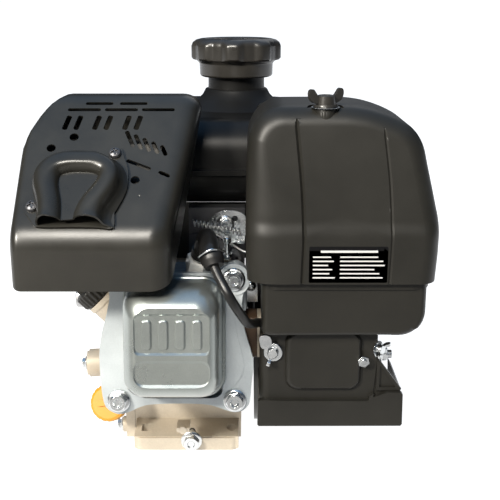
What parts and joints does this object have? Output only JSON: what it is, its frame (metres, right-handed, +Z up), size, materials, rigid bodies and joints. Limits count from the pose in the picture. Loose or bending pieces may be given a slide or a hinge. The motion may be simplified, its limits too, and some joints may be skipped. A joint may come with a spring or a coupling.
{
  "type": "small gasoline engine",
  "caption": "Air-cooled horizontal-shaft overhead-valve petrol engine with a fuel tank, guarded muffler, boxed air cleaner, carburettor and pull-cord starter.",
  "frame": {"origin": "on the base's underside, under the crossing of the crankshaft axis and the cylinder's middle plane", "axes": "+Z up, the crankshaft along X with the power take-off end at -X and the starter at +X, the cylinder towards -Y"},
  "size_m": [0.307, 0.341, 0.3527],
  "materials": {
    "cast_aluminium": "as cast, warm tint",
    "head_aluminium": "shot blasted casting",
    "cover_aluminium": "smooth die casting",
    "black_sheet_steel": "satin black stove paint",
    "black_plastic": "satin moulded",
    "black_rubber": "matte",
    "zinc_plated_steel": "bright zinc plate",
    "steel": "machined",
    "cast_iron": "machined casting",
    "yellow_plastic": "gloss moulded",
    "foam": "open foam",
    "white_ceramic": "glazed insulator with a steel shell",
    "brown_resin": "phenolic moulding",
    "brass": "turned"
  },
  "bodies": {
    "engine": {"crankcase": "cast_aluminium", "side_cover": "cast_aluminium", "carburetor": "cast_aluminium", "cylinder_head": "head_aluminium", "valve_cover": "cover_aluminium", "blower_housing": "black_sheet_steel", "recoil_cover": "black_sheet_steel", "tank_bracket": "black_sheet_steel", "muffler_guard": "black_sheet_steel", "exhaust_deflector": "black_sheet_steel", "air_cleaner_base": "black_plastic", "air_duct": "black_plastic", "fuel_tank": "black_plastic", "ignition_lead": "black_rubber", "spark_plug_boot": "black_rubber", "fuel_hose": "black_rubber", "pto_oil_seal": "black_rubber", "head_bolt_lower_left": "zinc_plated_steel", "head_bolt_lower_right": "zinc_plated_steel", "head_bolt_upper_right": "zinc_plated_steel", "duct_bolt_left": "zinc_plated_steel", "duct_bolt_right": "zinc_plated_steel", "drain_plug": "zinc_plated_steel", "pto_bearing": "steel", "flywheel_bearing": "steel", "intake_valve_spring": "steel", "exhaust_valve_spring": "steel", "muffler": "steel", "spark_plug": "white_ceramic", "ignition_coil": "brown_resin", "carburetor_insulator": "brown_resin"},
    "crank": {"crankshaft_pto": "steel", "crankshaft_flywheel": "steel", "crank_gear": "steel", "pto_key": "steel", "flywheel": "cast_iron", "cooling_fan": "black_plastic"},
    "cam": {"camshaft": "cast_iron"},
    "piston_group": {"piston": "cast_aluminium", "piston_ring": "steel", "wrist_pin": "steel"},
    "rod_group": {"connecting_rod": "cast_aluminium", "crank_pin": "steel"},
    "intake_push": {"intake_pushrod": "steel"},
    "exhaust_push": {"exhaust_pushrod": "steel"},
    "intake_rocking": {"intake_rocker": "steel"},
    "exhaust_rocking": {"exhaust_rocker": "steel"},
    "intake_valve_body": {"intake_valve": "steel"},
    "exhaust_valve_body": {"exhaust_valve": "steel"},
    "starter_pull": {"starter_handle": "black_plastic"},
    "starter_pulley": {"recoil_pulley": "black_plastic"},
    "throttle": {"throttle_shaft": "brass"},
    "choke": {"choke_shaft": "brass"},
    "speed_lever": {"speed_control_lever": "zinc_plated_steel"},
    "tank_cap": {"fuel_cap": "black_plastic"},
    "dipstick": {"oil_dipstick": "yellow_plastic"},
    "filler_cap": {"upper_oil_cap": "black_plastic"},
    "cleaner_lid": {"air_cleaner_cover": "black_plastic"},
    "cleaner_nut": {"wing_nut": "zinc_plated_steel"},
    "filter": {"air_filter_element": "foam"}
  },
  "joints": [
    {"name": "crank_spin", "type": "hinge", "parent": "engine", "child": "crank", "pos_m": [0, 0, 0.106], "axis": [1, 0, 0], "continuous": true},
    {"name": "cam_spin", "type": "hinge", "parent": "engine", "child": "cam", "pos_m": [0, -0.03023, 0.06269], "axis": [1, 0, 0], "continuous": true},
    {"name": "piston_slide", "type": "slide", "parent": "engine", "child": "piston_group", "axis": [0, -0.989, 0.1478], "range_m": [-0.054, 0]},
    {"name": "rod_swing", "type": "hinge", "parent": "piston_group", "child": "rod_group", "pos_m": [0, -0.10978, 0.12241], "axis": [1, 0, 0], "range_deg": [-18.7, 18.7]},
    {"name": "intake_push", "type": "slide", "parent": "engine", "child": "intake_push", "axis": [-0.0128, -0.9713, 0.2375], "range_m": [0, 0.0042]},
    {"name": "intake_rock", "type": "hinge", "parent": "engine", "child": "intake_rocking", "pos_m": [0.016, -0.19735, 0.11831], "axis": [1, 0, 0], "range_deg": [-15, 0]},
    {"name": "intake_valve_lift", "type": "slide", "parent": "engine", "child": "intake_valve_body", "axis": [0, 0.989, -0.1478], "range_m": [0, 0.0045], "stiffness_N_per_m": 800, "springref_m": -0.001},
    {"name": "exhaust_push", "type": "slide", "parent": "engine", "child": "exhaust_push", "axis": [0.0128, -0.9713, 0.2375], "range_m": [0, 0.0042]},
    {"name": "exhaust_rock", "type": "hinge", "parent": "engine", "child": "exhaust_rocking", "pos_m": [-0.016, -0.19735, 0.11831], "axis": [1, 0, 0], "range_deg": [-15, 0]},
    {"name": "exhaust_valve_lift", "type": "slide", "parent": "engine", "child": "exhaust_valve_body", "axis": [0, 0.989, -0.1478], "range_m": [0, 0.0045], "stiffness_N_per_m": 800, "springref_m": -0.001},
    {"name": "handle_pull", "type": "slide", "parent": "engine", "child": "starter_pull", "axis": [0, 0.45, 0.893], "range_m": [0, 0.6], "stiffness_N_per_m": 15, "springref_m": -0.05},
    {"name": "pulley_turn", "type": "hinge", "parent": "engine", "child": "starter_pulley", "pos_m": [0, 0, 0.106], "axis": [1, 0, 0], "range_deg": [-1240, 0]},
    {"name": "throttle_turn", "type": "hinge", "parent": "engine", "child": "throttle", "pos_m": [0.068, -0.15626, 0.12935], "axis": [0, 0, 1], "range_deg": [0, 75]},
    {"name": "choke_turn", "type": "hinge", "parent": "engine", "child": "choke", "pos_m": [0.092, -0.15626, 0.12935], "axis": [0, 0, 1], "range_deg": [-75, 0]},
    {"name": "speed_lever_turn", "type": "hinge", "parent": "engine", "child": "speed_lever", "pos_m": [0.036, -0.121, 0.184], "axis": [0, 0, 1], "range_deg": [-25, 25]},
    {"name": "fuel_cap_turn", "type": "hinge", "parent": "engine", "child": "tank_cap", "pos_m": [0.042, -0.012, 0.33], "axis": [0, 0, 1], "range_deg": [0, 90]},
    {"name": "dipstick_pull", "type": "slide", "parent": "engine", "child": "dipstick", "axis": [-0.1347, -0.9162, 0.3773], "range_m": [0, 0.04]},
    {"name": "filler_cap_pull", "type": "slide", "parent": "engine", "child": "filler_cap", "axis": [-0.7071, 0, 0.7071], "range_m": [0, 0.025]},
    {"name": "cleaner_lift", "type": "slide", "parent": "engine", "child": "cleaner_lid", "axis": [0, 0, 1], "range_m": [0, 0.15]},
    {"name": "wing_nut_spin", "type": "hinge", "parent": "cleaner_lid", "child": "cleaner_nut", "pos_m": [0.108, -0.188, 0.312], "axis": [0, 0, 1], "continuous": true},
    {"name": "filter_lift", "type": "slide", "parent": "engine", "child": "filter", "axis": [0, 0, 1], "range_m": [0, 0.07]}
  ],
  "couplings": [
    {"joint": "cam_spin", "follows": "crank_spin", "ratio": -0.5},
    {"joint": "intake_rock", "follows": "intake_push", "rad_per_m": -59},
    {"joint": "intake_valve_lift", "follows": "intake_push", "ratio": 1},
    {"joint": "exhaust_rock", "follows": "exhaust_push", "rad_per_m": -59},
    {"joint": "exhaust_valve_lift", "follows": "exhaust_push", "ratio": 1},
    {"joint": "pulley_turn", "follows": "handle_pull", "rad_per_m": -35},
    {"joint": "filter_lift", "follows": "cleaner_lift", "ratio": 0.4}
  ]
}
